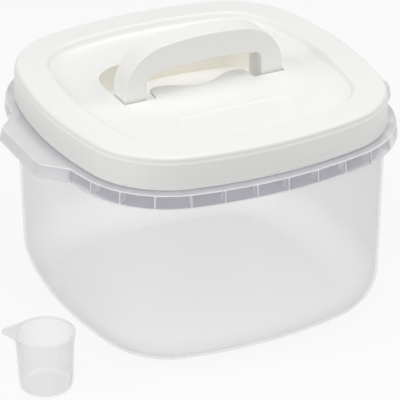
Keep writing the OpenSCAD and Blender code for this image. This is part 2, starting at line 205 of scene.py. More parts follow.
def tub_shell_section():
    """The shell: up the inside from the floor, over the neck and down the outside."""
    foot = []
    for step in range(FOOT_STEPS + 1):
        swing = math.pi / 2 * step / FOOT_STEPS
        foot.append((math.sin(swing), 1 - math.cos(swing)))
    inner_r = FOOT_R - TUB_WALL
    inside = [(FOOT_MID + inner_r * x, TUB_WALL + inner_r * z) for x, z in foot]
    outside = [(FOOT_MID + FOOT_R * x, FOOT_R * z) for x, z in reversed(foot)]
    root = WALL_FOOT + (WALL_TOP - WALL_FOOT) * (ROOT_Z - FOOT_R) / (RIM_Z - FOOT_R)
    inside.append((root - TUB_WALL, ROOT_Z))
    outside.insert(0, (root, ROOT_Z))
    neck = [
        (NECK_IN, RIM_Z), (TIP_IN, NECK_Z - NECK_EDGE), (TIP_IN + NECK_EDGE / 2, NECK_Z),
        (TIP_OUT - NECK_EDGE, NECK_Z), (TIP_OUT, NECK_Z - NECK_EDGE), (NECK_OUT, RIM_Z),
        (WALL_TOP, RIM_Z),
    ]
    return inside + neck + outside


tub = spun_piece("clear_tub", tub_shell_section())

# --------------------------------------------------------------------------------------------------
# Rim. Moulded in one with the tub: a flat plate with a short skirt hanging from its edge, stiffened
# by thin gussets that stand between the skirt and the wall at even steps all the way round.
# --------------------------------------------------------------------------------------------------
RIM_REACH = 10.3
RIM_MID = RIM_REACH / 2
RIM_H = 12.8
RIM_FLARE = 1.3  # how far the skirt leans out at its foot
RIM_T = 1.6
RIM_EDGE_R = RIM_T * 0.75
GUSSET_T = 1.4
GUSSETS = 9  # in each quarter
GUSSET_SHIFT = 2.5  # from the middle of a side to its first gusset
GUSSET_LIFT = 0.6  # the gussets end above the skirt's foot
QUARTER_RUN = (SIDE_R + RIM_MID) * 2 * SIDE_SPAN + (CORNER_R + RIM_MID) * CORNER_SPAN
SKIRT_FOOT_Z = RIM_Z - RIM_H
GUSSET_Z = SKIRT_FOOT_Z + GUSSET_LIFT
EDGE_R = 0.4
OVERLAP = 1.0


def extruded(bm, verts, reach):
    """Makes a face of the verts and extrudes it by reach, a vector in metres."""
    raised = bmesh.ops.extrude_face_region(bm, geom=[bm.faces.new(verts)])
    moved = [part for part in raised["geom"] if isinstance(part, bmesh.types.BMVert)]
    bmesh.ops.translate(bm, verts=moved, vec=reach)


def slab(name, outline, low, high):
    """A flat outline in X and Y, raised from one height to another."""
    bm = bmesh.new()
    verts = [bm.verts.new(Vector((x, y, low)) * MM) for x, y in outline]
    extruded(bm, verts, (0, 0, (high - low) * MM))
    return as_piece(name, bm)


def along_rim(distance):
    """Where a distance along one quarter of the rim leads: a frame whose X points outwards."""
    side_run = (SIDE_R + RIM_MID) * SIDE_SPAN
    corner_run = (CORNER_R + RIM_MID) * CORNER_SPAN
    if distance <= side_run:
        centre, angle, reach = (-BOW, 0, 0), distance / side_run * SIDE_SPAN, SIDE_R
    elif distance <= side_run + corner_run:
        angle = SIDE_SPAN + (distance - side_run) / corner_run * CORNER_SPAN
        centre, reach = (CORNER_C, CORNER_C, 0), CORNER_R
    else:
        angle = math.pi / 2 + ((distance - side_run - corner_run) / side_run - 1) * SIDE_SPAN
        centre, reach = (0, -BOW, 0), SIDE_R
    place = Matrix.Translation(Vector(centre) * MM) @ Matrix.Rotation(angle, 4, "Z")
    return place @ Matrix.Translation((reach * MM, 0, 0))


def gusset_place(k):
    """The frame of one gusset of the first quarter, counted from the middle of the side."""
    return along_rim(k * QUARTER_RUN / GUSSETS + GUSSET_SHIFT)


def stand_gusset(bm, place, corners):
    """Adds a thin upright plate with corners (x, z) in a gusset's frame."""
    verts = [bm.verts.new(place @ (Vector((x, -GUSSET_T / 2, z)) * MM)) for x, z in corners]
    extruded(bm, verts, place.to_3x3() @ Vector((0, GUSSET_T * MM, 0)))


def rim_section(root, edge, flare):
    """A flat plate from root to edge, and a leaning skirt that hangs from its edge."""
    lip = edge + flare
    return rounded([
        (root, RIM_Z, 0), (edge, RIM_Z, RIM_EDGE_R), (lip, SKIRT_FOOT_Z, EDGE_R),
        (lip - RIM_T, SKIRT_FOOT_Z, EDGE_R), (edge - RIM_T, RIM_Z - RIM_T, RIM_T / 2),
        (root, RIM_Z - RIM_T, 0),
    ], steps=4)


GUSSET_PLACES = [
    Matrix.Rotation(quarter * math.pi / 2, 4, "Z") @ gusset_place(k)
    for quarter in range(4) for k in range(GUSSETS)
]


def gusset_ring():
    """All the gussets, let into the wall, the plate and the skirt."""
    root = -TUB_WALL / 2
    out = RIM_REACH - RIM_T / 2
    top = RIM_Z - OVERLAP
    bm = bmesh.new()
    for place in GUSSET_PLACES:
        corners = ((root, top), (out, top), (out + RIM_FLARE, GUSSET_Z), (root, GUSSET_Z))
        stand_gusset(bm, place, corners)
    return as_piece("gussets", bm)


rim = spun_piece(
    "rim", rim_section((NECK_IN + NECK_OUT) / 2, RIM_REACH, RIM_FLARE), closed=True
)
join_cut(rim, gusset_ring())

# --------------------------------------------------------------------------------------------------
# Ear grips. On the left and right the rim widens into a flat ear with slanted ends. Its own leaning
# skirt follows its edge round, and ribs in line with the rim's gussets cross the finger space.
# --------------------------------------------------------------------------------------------------
EAR_REACH = 26.0
EAR_FLARE = 3.0
EAR_W = 84.0
EAR_ROOT_W = 128.0
EAR_R = 6.0
EAR_STEPS = 8
EAR_LAP = EAR_R * 0.9  # how far the ear's edge reaches in under its plate
EAR_RIBS = (-1, 0, 1)  # the gussets that run on under the ear
EAR_ROOT_X = math.sqrt((SIDE_R + RIM_REACH) ** 2 - (EAR_ROOT_W / 2) ** 2) - BOW
EAR_TIP_X = PLAN_HALF + EAR_REACH
EAR_SLOPE = (EAR_ROOT_W - EAR_W) / 2 / (EAR_TIP_X - EAR_ROOT_X)
EAR_TURN = math.pi / 2 - math.atan(EAR_SLOPE)
EAR_CORNER_Y = EAR_W / 2 - EAR_R * math.tan(EAR_TURN / 2)
RING_H = 60.0
RING_STEPS = 720


def turned(piece, angle):
    """Turns a piece's mesh about Z."""
    piece.data.transform(Matrix.Rotation(angle, 4, "Z"))
    return piece


def round_bar(radius, length, steps):
    """A bmesh of a round bar that stands on Z, with its middle at the origin."""
    bm = bmesh.new()
    bmesh.ops.create_cone(
        bm, cap_ends=True, cap_tris=False, segments=steps, radius1=radius * MM,
        radius2=radius * MM, depth=length * MM,
    )
    return bm


def ear_edge():
    """The ear's edge and skirt: a section swept down one side, round the tip and up the other."""
    side = math.hypot(EAR_TIP_X - EAR_ROOT_X, (EAR_ROOT_W - EAR_W) / 2) + 2 * EAR_FLARE
    upper = Vector((EAR_TIP_X - EAR_R, EAR_CORNER_Y, 0))
    lower = Vector((EAR_TIP_X - EAR_R, -EAR_CORNER_Y, 0))
    lean = Matrix.Rotation(EAR_TURN, 3, "Z")
    along = Vector((0, -side, 0))
    bm = bmesh.new()
    section = rim_section(-EAR_LAP, 0, EAR_FLARE)
    ring = [bm.verts.new((upper + lean @ Vector((EAR_R + x, side, z))) * MM) for x, z in section]
    line = ring + [bm.edges.new((ring[k - 1], ring[k])) for k in range(len(ring))]
    path = (
        (lean @ along, None), (None, upper), (lower - upper, None), (None, lower),
        (lean.inverted() @ along, None),
    )
    for step, corner in path:
        made = bmesh.ops.spin(
            bm, geom=line, cent=(corner or upper) * MM, axis=(0, 0, 1),
            dvec=(step or Vector()) * MM, angle=-EAR_TURN if corner else 0,
            steps=EAR_STEPS if corner else 1, use_merge=False, use_normal_flip=False,
            use_duplicate=False,
        )
        line = made["geom_last"]
    return as_piece("ear_edge", bm)


def ear_plate():
    """The ear's flat top, inside its edge."""
    root = PLAN_HALF + RIM_REACH / 5
    tip = EAR_TIP_X - RIM_T
    slack = RIM_T * math.hypot(1, EAR_SLOPE)
    half_root = EAR_ROOT_W / 2 - (root - EAR_ROOT_X) * EAR_SLOPE - slack
    half_tip = EAR_ROOT_W / 2 - (tip - EAR_ROOT_X) * EAR_SLOPE - slack
    round_r = EAR_R - RIM_T / 2
    outline = rounded([
        (root, -half_root, 0), (tip, -half_tip, round_r), (tip, half_tip, round_r),
        (root, half_root, 0),
    ])
    return slab("ear_plate", outline, RIM_Z - RIM_T, RIM_Z)


def ear_ribs():
    """Ribs under the ear, cut to the space between the rim and the ear's skirt."""
    top = RIM_Z - RIM_T / 2
    long = 2 * EAR_REACH
    bm = bmesh.new()
    for k in EAR_RIBS:
        stand_gusset(bm, gusset_place(k), ((0, GUSSET_Z), (long, GUSSET_Z), (long, top), (0, top)))
    ribs = as_piece("ear_ribs", bm)
    reach = EAR_TIP_X - RIM_T / 2
    space = (
        (PLAN_HALF, SKIRT_FOOT_Z), (reach + EAR_FLARE, SKIRT_FOOT_Z), (reach, RIM_Z),
        (PLAN_HALF, RIM_Z),
    )
    bm = bmesh.new()
    verts = [bm.verts.new(Vector((x, -EAR_W / 2, z)) * MM) for x, z in space]
    extruded(bm, verts, (0, EAR_W * MM, 0))
    return join_cut(ribs, as_piece("ear_space", bm), "INTERSECT")


for angle in (0, math.pi):
    ear = join_cut(ear_edge(), ear_ribs())
    bm = round_bar(SIDE_R + RIM_REACH - RIM_T / 4, RING_H, RING_STEPS)
    bmesh.ops.translate(bm, verts=bm.verts, vec=Vector((-BOW, 0, RIM_Z)) * MM)
    join_cut(ear, as_piece("ring", bm), "DIFFERENCE")
    join_cut(ear, ear_plate())
    join_cut(rim, turned(ear, angle))
join_cut(tub, rim)

# --------------------------------------------------------------------------------------------------
# Finish of the tub, rim and ears. It is all one clear plastic. Ribs, rounded edges, the skirt's
# foot and a strip of skirt over each gusset get a lighter, less clear copy of it as painted
# highlight where light runs along it, and the band of wall behind the rim a dark violet copy as
# painted shade, which makes the rim's cells look a little violet. Every face gets its copy by its
# place and the way it faces. The skirt is parted at each gusset first, so that the painted strips
# over the ribs get faces of their own.
# --------------------------------------------------------------------------------------------------
NEAR = 0.2  # how near to a size a face has to lie to count as on it
OFF_WALL = 0.3  # how far from the wall it has to lie to be part of the rim
FACING = 0.9  # a face looks along a direction when its normal has at least this share along it
LEVEL = 0.96
TILTED = 0.5
ACROSS = 0.3  # and it stands across a direction when its normal has less than this share


def off_plan(spot):
    """How far a spot lies outside the plan outline, and which way is outwards there."""
    flat = Vector((spot.x, spot.y)) / MM
    wide = Vector((abs(flat.x), abs(flat.y)))
    sign = Vector((math.copysign(1, flat.x), math.copysign(1, flat.y)))
    if math.atan2(wide.y, wide.x + BOW) < SIDE_SPAN:
        centre, reach = Vector((-BOW * sign.x, 0)), SIDE_R
    elif math.atan2(wide.x, wide.y + BOW) < SIDE_SPAN:
        centre, reach = Vector((0, -BOW * sign.y)), SIDE_R
    else:
        centre, reach = sign * CORNER_C, CORNER_R
    spoke = flat - centre
    return spoke.length - reach, spoke.normalized()


def on_skirt(spot, normal):
    """Whether a spot lies on the outside of the rim's skirt, clear of the ears."""
    offset, outwards = off_plan(spot)
    reach = RIM_REACH - NEAR < offset < RIM_REACH + RIM_FLARE + NEAR
    return reach and normal.xy.dot(outwards) > FACING and spot.z > SKIRT_FOOT_Z * MM


def part_skirt(piece):
    """Parts the skirt's faces along both sides of every gusset, so each gets its own strip."""
    bm = bmesh.new()
    bm.from_mesh(piece.data)
    for place in GUSSET_PLACES:
        for side in (-GUSSET_T / 2, GUSSET_T / 2):
            spot = place @ Vector((0, side * MM, 0))
            near = [
                face for face in bm.faces
                if (face.calc_center_median().xy - spot.xy).length < 2 * RIM_REACH * MM
                and on_skirt(face.calc_center_median(), face.normal)
            ]
            verts = {vert for face in near for vert in face.verts}
            edges = {edge for face in near for edge in face.edges}
            bmesh.ops.bisect_plane(
                bm, geom=[*verts, *edges, *near], dist=MERGE, plane_co=spot,
                plane_no=place.to_3x3() @ Vector((0, 1, 0)), use_snap_center=False,
                clear_outer=False, clear_inner=False,
            )
    bm.to_mesh(piece.data)
    bm.free()


part_skirt(tub)
smooth_off(tub)

PLASTIC_IOR = 1.49
VEIL_BLEND = 0.25
TUB_TINT = (0.94, 0.94, 0.955)
RIM_TINT = (0.93, 0.925, 0.95)
# painted highlight: ribs, rounded edges, the skirt's foot and the strips over the gussets are
# lighter and far less clear, so they show as bright lines
RIB_HIGHLIGHT_TINT = (0.96, 0.96, 0.975)
# painted shade: the wall behind the rim is tinted dark violet and kept half opaque, so the rim's
# cells look shaded
ROOT_SHADE_TINT = (0.37, 0.36, 0.44)
LEDGE_TINT = (0.93, 0.93, 0.955)
EAR_TINT = (0.955, 0.952, 0.965)


def moulded_plastic(name, roughness, spread, scale, detail):
    """Polypropylene whose gloss varies a little: gives it with its coordinates and its noise."""
    material = bpy.data.materials.new(name)
    material.use_nodes = True
    nodes, links = material.node_tree.nodes, material.node_tree.links
    shader = nodes["Principled BSDF"]
    shader.inputs["IOR"].default_value = PLASTIC_IOR
    where = nodes.new("ShaderNodeTexCoord")
    flow = nodes.new("ShaderNodeTexNoise")
    flow.inputs["Scale"].default_value = scale
    flow.inputs["Detail"].default_value = detail
    links.new(where.outputs["Object"], flow.inputs["Vector"])
    gloss = nodes.new("ShaderNodeMapRange")
    gloss.inputs["To Min"].default_value = roughness - spread
    gloss.inputs["To Max"].default_value = roughness + spread
    links.new(flow.outputs["Fac"], gloss.inputs["Value"])
    links.new(gloss.outputs["Result"], shader.inputs["Roughness"])
    return material, where, flow


def natural_plastic(name, tint, roughness):
    """Natural polypropylene with the faint unevenness that a moulded surface has."""
    material, _, _ = moulded_plastic(name, roughness, spread=0.04, scale=14, detail=3)
    shader = material.node_tree.nodes["Principled BSDF"]
    shader.inputs["Base Color"].default_value = (*tint, 1)
    return material


def clear_plastic(name, tint, roughness, veil, edge_veil):
    """A thin see-through wall, with a milky veil that thickens where it is seen edge on."""
    material = natural_plastic(name, tint, roughness)
    nodes, links = material.node_tree.nodes, material.node_tree.links
    slant = nodes.new("ShaderNodeLayerWeight")
    slant.inputs["Blend"].default_value = VEIL_BLEND
    thick = nodes.new("ShaderNodeMapRange")
    thick.inputs["To Min"].default_value = veil
    thick.inputs["To Max"].default_value = edge_veil
    links.new(slant.outputs["Facing"], thick.inputs["Value"])
    links.new(thick.outputs["Result"], nodes["Principled BSDF"].inputs["Alpha"])
    return material


def rim_plastic(name, tint, roughness, clearness):
    """The same plastic where it is a rib or a plate: it bends the light that comes through it."""
    material = natural_plastic(name, tint, roughness)
    shader = material.node_tree.nodes["Principled BSDF"]
    shader.inputs["Transmission Weight"].default_value = clearness
    return material


TUB_SLOTS = (
    ("wall", clear_plastic("clear_polypropylene", TUB_TINT, 0.2, veil=0.02, edge_veil=0.5)),
    ("rim", rim_plastic("rim_polypropylene", RIM_TINT, 0.2, clearness=0.86)),
    ("rib", rim_plastic("rib_painted_highlight", RIB_HIGHLIGHT_TINT, 0.35, clearness=0.15)),
    ("root", clear_plastic("root_painted_shade", ROOT_SHADE_TINT, 0.3, veil=0.6, edge_veil=0.85)),
    ("ledge", rim_plastic("ledge_polypropylene", LEDGE_TINT, 0.3, clearness=0.62)),
    ("ear", rim_plastic("ear_polypropylene", EAR_TINT, 0.32, clearness=0.46)),
)
GUSSET_FRAMES = [place.inverted() for place in GUSSET_PLACES]


def over_gusset(spot):
    """Whether a spot of the rim lies within the thickness of a gusset."""
    for place in GUSSET_FRAMES:
        seen = place @ spot
        if abs(seen.y) < GUSSET_T / 2 * MM and abs(seen.x) < RIM_REACH * 2 * MM:
            return True
    return False


def tub_slot(spot, normal):
    """Which copy of the tub's plastic a face gets, painted highlight and painted shade among them,
    by its place and by the way it faces.
    """
    offset, outwards = off_plan(spot)
    if spot.z <= (SKIRT_FOOT_Z - NEAR) * MM or offset <= WALL_TOP + OFF_WALL:
        # the band of wall behind the rim takes the dark painted shade
        return "root" if (ROOT_Z + NEAR) * MM < spot.z < RIM_Z * MM else "wall"
    ring = offset < RIM_REACH + RIM_FLARE + NEAR
    across = abs(normal.xy.dot(outwards)) < ACROSS and abs(normal.z) < ACROSS
    foot = normal.z < -TILTED and spot.z < (GUSSET_Z + NEAR) * MM
    edge = ACROSS < normal.z < LEVEL
    strip = on_skirt(spot, normal) and over_gusset(spot)
    # ribs, rounded edges, the foot and the strips of skirt over the gussets take the painted
    # highlight
    if (ring and across) or foot or edge or strip:
        return "rib"
    if not ring:
        return "ear"
    return "ledge" if normal.z > FACING else "rim"


tub.data.materials.clear()
for _, material in TUB_SLOTS:
    tub.data.materials.append(material)
slot_numbers = {name: number for number, (name, _) in enumerate(TUB_SLOTS)}
for face in tub.data.polygons:
    face.material_index = slot_numbers[tub_slot(face.center, face.normal)]
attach(tub, "tub")
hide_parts("tub")

# --------------------------------------------------------------------------------------------------
# Lid. White polypropylene, injection moulded in one: a skirt that fits over the neck, with a small
# step in it and a slight flare at its foot, a broad raised border, a sunk panel, and a short
# sealing wall that reaches down inside the neck.
# --------------------------------------------------------------------------------------------------
LID_T = 2.2
HUB = 82.0  # the panel's spun part ends this far inside the outline, and a flat face closes it
BORDER_W = 31.0
BORDER_RISE = 0.6
BORDER_EDGE_R = 3.0
PANEL_DROP = 8.3
PANEL_Z = BORDER_Z - PANEL_DROP
RECESS_RUN = 2.0
RECESS_FOOT = -BORDER_W - RECESS_RUN
RECESS_FOOT_R = 4.0
SKIRT_LIFT = 1.3
SKIRT_Z = RIM_Z + SKIRT_LIFT
SKIRT_EASE = 0.1
SKIRT_LIP = NECK_OUT + LID_GAP + SKIRT_EASE
LID_FLARE = 2.4
LEDGE_W = 0.8  # the step in the skirt
LEDGE_DROP = 6.2
LEDGE_Z = BORDER_Z - LEDGE_DROP
LEDGE_R = 0.8
LEDGE_RUN = 1.1
LID_FOOT_H = 5.0
LID_FOOT_FLARE = 0.65
LID_FOOT_R = 8.0
PLUG_H = 4.5
PLUG_Z = NECK_Z - PLUG_H
PLUG_T = 1.8
PLUG_EDGE_R = 0.5


def lid_section():
    """The lid: out over the panel and border, down the skirt, round the neck's slot and back."""
    plug_out = TIP_IN - LID_GAP
    plug_in = plug_out - PLUG_T
    plate_z = PANEL_Z - LID_T
    border_in = BORDER_Z + BORDER_RISE
    return rounded([
        (-HUB, PANEL_Z, 0), (RECESS_FOOT, PANEL_Z, RECESS_FOOT_R),
        (-BORDER_W, border_in, BORDER_EDGE_R), (0, BORDER_Z, SHOULDER_R),
        (LID_GAP, LEDGE_Z + LEDGE_RUN, LEDGE_R), (LEDGE_W + LID_GAP, LEDGE_Z - LEDGE_RUN, LEDGE_R),
        (LID_FLARE - LID_FOOT_FLARE, SKIRT_Z + LID_FOOT_H, LID_FOOT_R),
        (LID_FLARE, SKIRT_Z, EDGE_R), (SKIRT_LIP, SKIRT_Z, EDGE_R),
        (TIP_OUT + LID_GAP, SLOT_Z, EDGE_R), (plug_out, SLOT_Z, EDGE_R),
        (plug_out, PLUG_Z, PLUG_EDGE_R), (plug_in, PLUG_Z, PLUG_EDGE_R),
        (plug_in, BORDER_Z - LID_T, PLUG_EDGE_R),
        (-BORDER_W + LID_T, border_in - LID_T, BORDER_EDGE_R),
        (RECESS_FOOT + LID_T, plate_z, RECESS_FOOT_R / 2), (-HUB, plate_z, 0),
    ])


lid = spun_piece("white_lid", lid_section())

# --------------------------------------------------------------------------------------------------
# Handle pocket, tongue and label recess, moulded in one with the lid. The pocket takes the folded
# handle, a tongue with a waved edge reaches in between its feet, bosses on its sides hold the
# hinge pins, and the shallow recess in front stays bare.
# --------------------------------------------------------------------------------------------------
HANDLE_W = 166.8
HANDLE_D = 25.4
HANDLE_H = 54.0
HINGE_Z = PANEL_Z - HANDLE_D / 2
CROWN_Z = PANEL_Z + HANDLE_H
CROWN_R = 300.0
CROWN_STEPS = 24
SHOULDER_STEPS = 12
PLAY_UNDER = 0.8  # the pocket's play round the folded handle
PLAY_BESIDE = 1.6
PLAY_BEFORE = 2.0
PLAY_BEHIND = 7.0
POCKET_Z = HINGE_Z - HANDLE_D / 2 - PLAY_UNDER
POCKET_HALF = HANDLE_W / 2 + PLAY_BESIDE
POCKET_FRONT = -HANDLE_D / 2 - PLAY_BEFORE
POCKET_BACK = CROWN_Z - HINGE_Z + PLAY_BEHIND
POCKET_R = 35.0
TONGUE_W = 104.0
TONGUE_REACH = 8.3
TONGUE_END_R = 8.0
TONGUE_TAPER = 2.0
SCOOP = 13.3
SCOOP_W = 64.0
SCOOP_FOOT_W = 22.0
SCOOP_R = 33.0
LABEL_L = 122.0
LABEL_W = 32.0
LABEL_Y = 79.0
LABEL_DROP = 0.6
LABEL_SLOPE = 0.7  # how far the recess's walls lean, at its floor and at its brim
LABEL_ROUND = 0.999  # its ends are half circles, but for a hair
BOSS_REACH = 2.4
BOSS_FACE = POCKET_HALF + LID_T + BOSS_REACH
BOSS_T = 3.5
PIN_R = 4.0
PIN_PLAY = 0.05
BAR_STEPS = 48


def arch_line(width, top, big_r, small_r, low):
    """An arch from the front: up one side, over a shoulder, the crown and a shoulder, and down."""
    side_mid = width / 2 - small_r
    rise = math.sqrt((big_r - small_r) ** 2 - side_mid ** 2)
    crown_mid = top - big_r
    lean = math.atan2(side_mid, rise)
    half = [(width / 2, low)]
    for step in range(SHOULDER_STEPS + 1):
        swing = (math.pi / 2 - lean) * step / SHOULDER_STEPS
        x = side_mid + small_r * math.cos(swing)
        half.append((x, crown_mid + rise + small_r * math.sin(swing)))
    crown = []
    for step in range(1, CROWN_STEPS):
        swing = lean - 2 * lean * step / CROWN_STEPS
        crown.append((big_r * math.sin(swing), crown_mid + big_r * math.cos(swing)))
    return half + crown + [(-x, z) for x, z in reversed(half)]


def pocket_outline(grow):
    """The folded handle's own arch, grown by grow on every side."""
    width = 2 * (POCKET_HALF + grow)
    low = POCKET_FRONT - grow
    return arch_line(width, POCKET_BACK + grow, CROWN_R + grow, POCKET_R + grow, low)


def tongue_outline():
    """The tongue from above, with a scoop in the middle of its edge."""
    end = TONGUE_W / 2
    root = POCKET_FRONT - LID_T / 2
    dip = TONGUE_REACH - SCOOP
    return rounded([
        (-end, root, 0), (end, root, 0), (end - TONGUE_TAPER, TONGUE_REACH, TONGUE_END_R),
        (SCOOP_W / 2, TONGUE_REACH, SCOOP_R), (SCOOP_FOOT_W / 2, dip, SCOOP_R),
        (-SCOOP_FOOT_W / 2, dip, SCOOP_R), (-SCOOP_W / 2, TONGUE_REACH, SCOOP_R),
        (TONGUE_TAPER - end, TONGUE_REACH, TONGUE_END_R),
    ], steps=10)


def label_outline(grow):
    """The label recess from above, grown by grow on every side."""
    end = LABEL_L / 2 + grow
    side = LABEL_W / 2 + grow
    corners = [(-end, -side), (end, -side), (end, side), (-end, side)]
    return rounded([(x, y - LABEL_Y, side * LABEL_ROUND) for x, y in corners], steps=16)


def label_cutter():
    """What the label recess takes out of the panel, wider at the top than at its floor."""
    cutter = slab("label", label_outline(-LABEL_SLOPE), PANEL_Z - LABEL_DROP, PANEL_Z + LABEL_DROP)
    longer = (LABEL_L / 2 + LABEL_SLOPE) / (LABEL_L / 2 - LABEL_SLOPE)
    wider = (LABEL_W / 2 + LABEL_SLOPE) / (LABEL_W / 2 - LABEL_SLOPE)
    for vert in cutter.data.vertices:
        if vert.co.z > PANEL_Z * MM:
            vert.co.x *= longer
            vert.co.y = (vert.co.y + LABEL_Y * MM) * wider - LABEL_Y * MM
    return cutter


def bar_along_x(name, low, high, radius):
    """A round bar on the hinge line, from one X to another."""
    bm = round_bar(radius, high - low, BAR_STEPS)
    level = Matrix.Rotation(math.pi / 2, 3, "Y")
    bmesh.ops.rotate(bm, verts=bm.verts, cent=(0, 0, 0), matrix=level)
    bmesh.ops.translate(bm, verts=bm.verts, vec=Vector(((low + high) / 2, 0, HINGE_Z)) * MM)
    return as_piece(name, bm)


label_back_z = PANEL_Z - LID_T - LABEL_DROP
join_cut(lid, slab("label_back", label_outline(LID_T), label_back_z, PANEL_Z - LID_T / 2))
mouth = slab("mouth", pocket_outline(0), PANEL_Z - LID_T - OVERLAP, PANEL_Z + OVERLAP)
join_cut(lid, mouth, "DIFFERENCE")
tray = slab("tray", pocket_outline(LID_T), POCKET_Z - LID_T, PANEL_Z - LID_T / 2)
join_cut(tray, slab("hollow", pocket_outline(0), POCKET_Z, PANEL_Z + OVERLAP), "DIFFERENCE")
join_cut(lid, tray)
join_cut(lid, slab("tongue", tongue_outline(), PANEL_Z - LID_T, PANEL_Z))
for low, high in ((POCKET_HALF, BOSS_FACE), (-BOSS_FACE, -POCKET_HALF)):
    join_cut(lid, bar_along_x("boss", low, high, PIN_R + BOSS_T))
join_cut(lid, label_cutter(), "DIFFERENCE")
hole_in, hole_out = POCKET_HALF - OVERLAP, BOSS_FACE + OVERLAP
for low, high in ((hole_in, hole_out), (-hole_out, -hole_in)):
    join_cut(lid, bar_along_x("pin_hole", low, high, PIN_R + PIN_PLAY), "DIFFERENCE")
smooth_off(lid)

LID_WHITE = (0.93, 0.93, 0.91)
# painted light: the pocket's walls are tinted warm cream for light that comes through the thin
# plastic and bounces about in the pocket, and its floor is whiter than the lid so it reads brightly
# lit down in the pocket
POCKET_WARM_LIGHT_TINT = (1.0, 0.975, 0.885)
POCKET_FLOOR_LIGHT_TINT = (1.0, 0.99, 0.96)
LID_ROUGHNESS = 0.38
LID_SLOTS = (
    ("white_polypropylene", LID_WHITE), ("pocket_wall_painted_warm_light", POCKET_WARM_LIGHT_TINT),
    ("pocket_floor_painted_light", POCKET_FLOOR_LIGHT_TINT),
)
WALL_SLOT, FLOOR_SLOT = 1, 2
TONE_DIP = 0.985
SKIN_SCALE = 900
SKIN_DETAIL = 2
SKIN_STRENGTH = 0.05
SKIN_DEPTH = 0.0003


def white_plastic(name, colour, roughness):
    """White polypropylene with a satin skin: its tone varies, and fine ripples break its gloss."""
    material, where, flow = moulded_plastic(name, roughness, spread=0.05, scale=9, detail=4)
    nodes, links = material.node_tree.nodes, material.node_tree.links
    shader = nodes["Principled BSDF"]
    tone = nodes.new("ShaderNodeMix")
    tone.data_type = "RGBA"
    tone.inputs["A"].default_value = (*colour, 1)
    tone.inputs["B"].default_value = (*[part * TONE_DIP for part in colour], 1)
    links.new(flow.outputs["Fac"], tone.inputs["Factor"])
    links.new(tone.outputs["Result"], shader.inputs["Base Color"])
    skin = nodes.new("ShaderNodeTexNoise")
    skin.inputs["Scale"].default_value = SKIN_SCALE
    skin.inputs["Detail"].default_value = SKIN_DETAIL
    links.new(where.outputs["Object"], skin.inputs["Vector"])
    bump = nodes.new("ShaderNodeBump")
    bump.inputs["Strength"].default_value = SKIN_STRENGTH
    bump.inputs["Distance"].default_value = SKIN_DEPTH
    links.new(skin.outputs["Fac"], bump.inputs["Height"])
    links.new(bump.outputs["Normal"], shader.inputs["Normal"])
    return material


lid.data.materials.clear()
for name, colour in LID_SLOTS:
    lid.data.materials.append(white_plastic(name, colour, LID_ROUGHNESS))
# the pocket's walls and floor take the painted light
for face in lid.data.polygons:
    spot = face.center / MM
    across = abs(spot.x) < POCKET_HALF + NEAR and POCKET_FRONT - NEAR < spot.y < POCKET_BACK + NEAR
    if across and POCKET_Z - NEAR < spot.z < PANEL_Z - NEAR:
        face.material_index = FLOOR_SLOT if face.normal.z > FACING else WALL_SLOT
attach(lid, "lid")
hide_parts("lid")

# --------------------------------------------------------------------------------------------------
# Handle. White polypropylene: an arched channel, open at the back, with thin webs across it and
# round feet. A pin moulded on each foot clips into the lid's bosses, and the handle turns on them.
# --------------------------------------------------------------------------------------------------
ARCH_R = 45.0
FINGER_W = 122.0
FINGER_H = 27.5
FINGER_Z = PANEL_Z + FINGER_H
FINGER_ARCH_R = 400.0
FINGER_R = 8.0
HANDLE_T = 2.4
HANDLE_EDGE_R = 1.0
HANDLE_EDGE_STEPS = 3
HANDLE_LOW = HINGE_Z - HANDLE_D
HANDLE_FRONT = -HANDLE_D / 2
SIDE_VIEW_H = 110.0
SIDE_VIEW_STEPS = 24
HOLLOW_LIFT = 3.0  # the feet stay solid up to this much above the pins
WEB_T = 1.6
WEB_PITCH = 20.0
WEB_COLUMNS = (-2, -1, 0, 1, 2)
WEB_ROWS = 2
WEB_INSET = 3.0
WEB_BACK = HANDLE_FRONT + HANDLE_D - WEB_INSET
WEB_LOW = 2.8
PAST_CROWN = 10.0
HANDLE_WHITE = (0.93, 0.925, 0.90)
HANDLE_ROUGHNESS = 0.36


def handle_block(inset, front, back):
    """A bmesh of the handle's front view, moved in by inset, as a block from front to back."""
    outer = arch_line(
        HANDLE_W - 2 * inset, CROWN_Z - inset, CROWN_R - inset, ARCH_R - inset, HANDLE_LOW
    )
    inner = arch_line(
        FINGER_W + 2 * inset, FINGER_Z + inset, FINGER_ARCH_R + inset, FINGER_R + inset, HANDLE_LOW
    )
    bm = bmesh.new()
    verts = [bm.verts.new(Vector((x, front, z)) * MM) for x, z in outer + inner[::-1]]
    extruded(bm, verts, (0, (back - front) * MM, 0))
    return bm


def side_view(name, low_x, high_x):
    """What the handle fills seen from the side: round at the foot, and straight above it."""
    reach = HANDLE_D / 2
    outline = [(-reach, HINGE_Z + SIDE_VIEW_H), (-reach, HINGE_Z)]
    for step in range(1, SIDE_VIEW_STEPS):
        swing = math.pi + math.pi * step / SIDE_VIEW_STEPS
        outline.append((reach * math.cos(swing), HINGE_Z + reach * math.sin(swing)))
    outline += [(reach, HINGE_Z), (reach, HINGE_Z + SIDE_VIEW_H)]
    bm = bmesh.new()
    verts = [bm.verts.new(Vector((low_x, y, z)) * MM) for y, z in outline]
    extruded(bm, verts, ((high_x - low_x) * MM, 0, 0))
    return as_piece(name, bm)


def box_piece(name, low, high):
    """A box between two corners."""
    bm = bmesh.new()
    bmesh.ops.create_cube(bm, size=1)
    size = Vector(high) - Vector(low)
    bmesh.ops.scale(bm, verts=bm.verts, vec=size * MM)
    bmesh.ops.translate(bm, verts=bm.verts, vec=(Vector(low) + size / 2) * MM)
    return as_piece(name, bm)


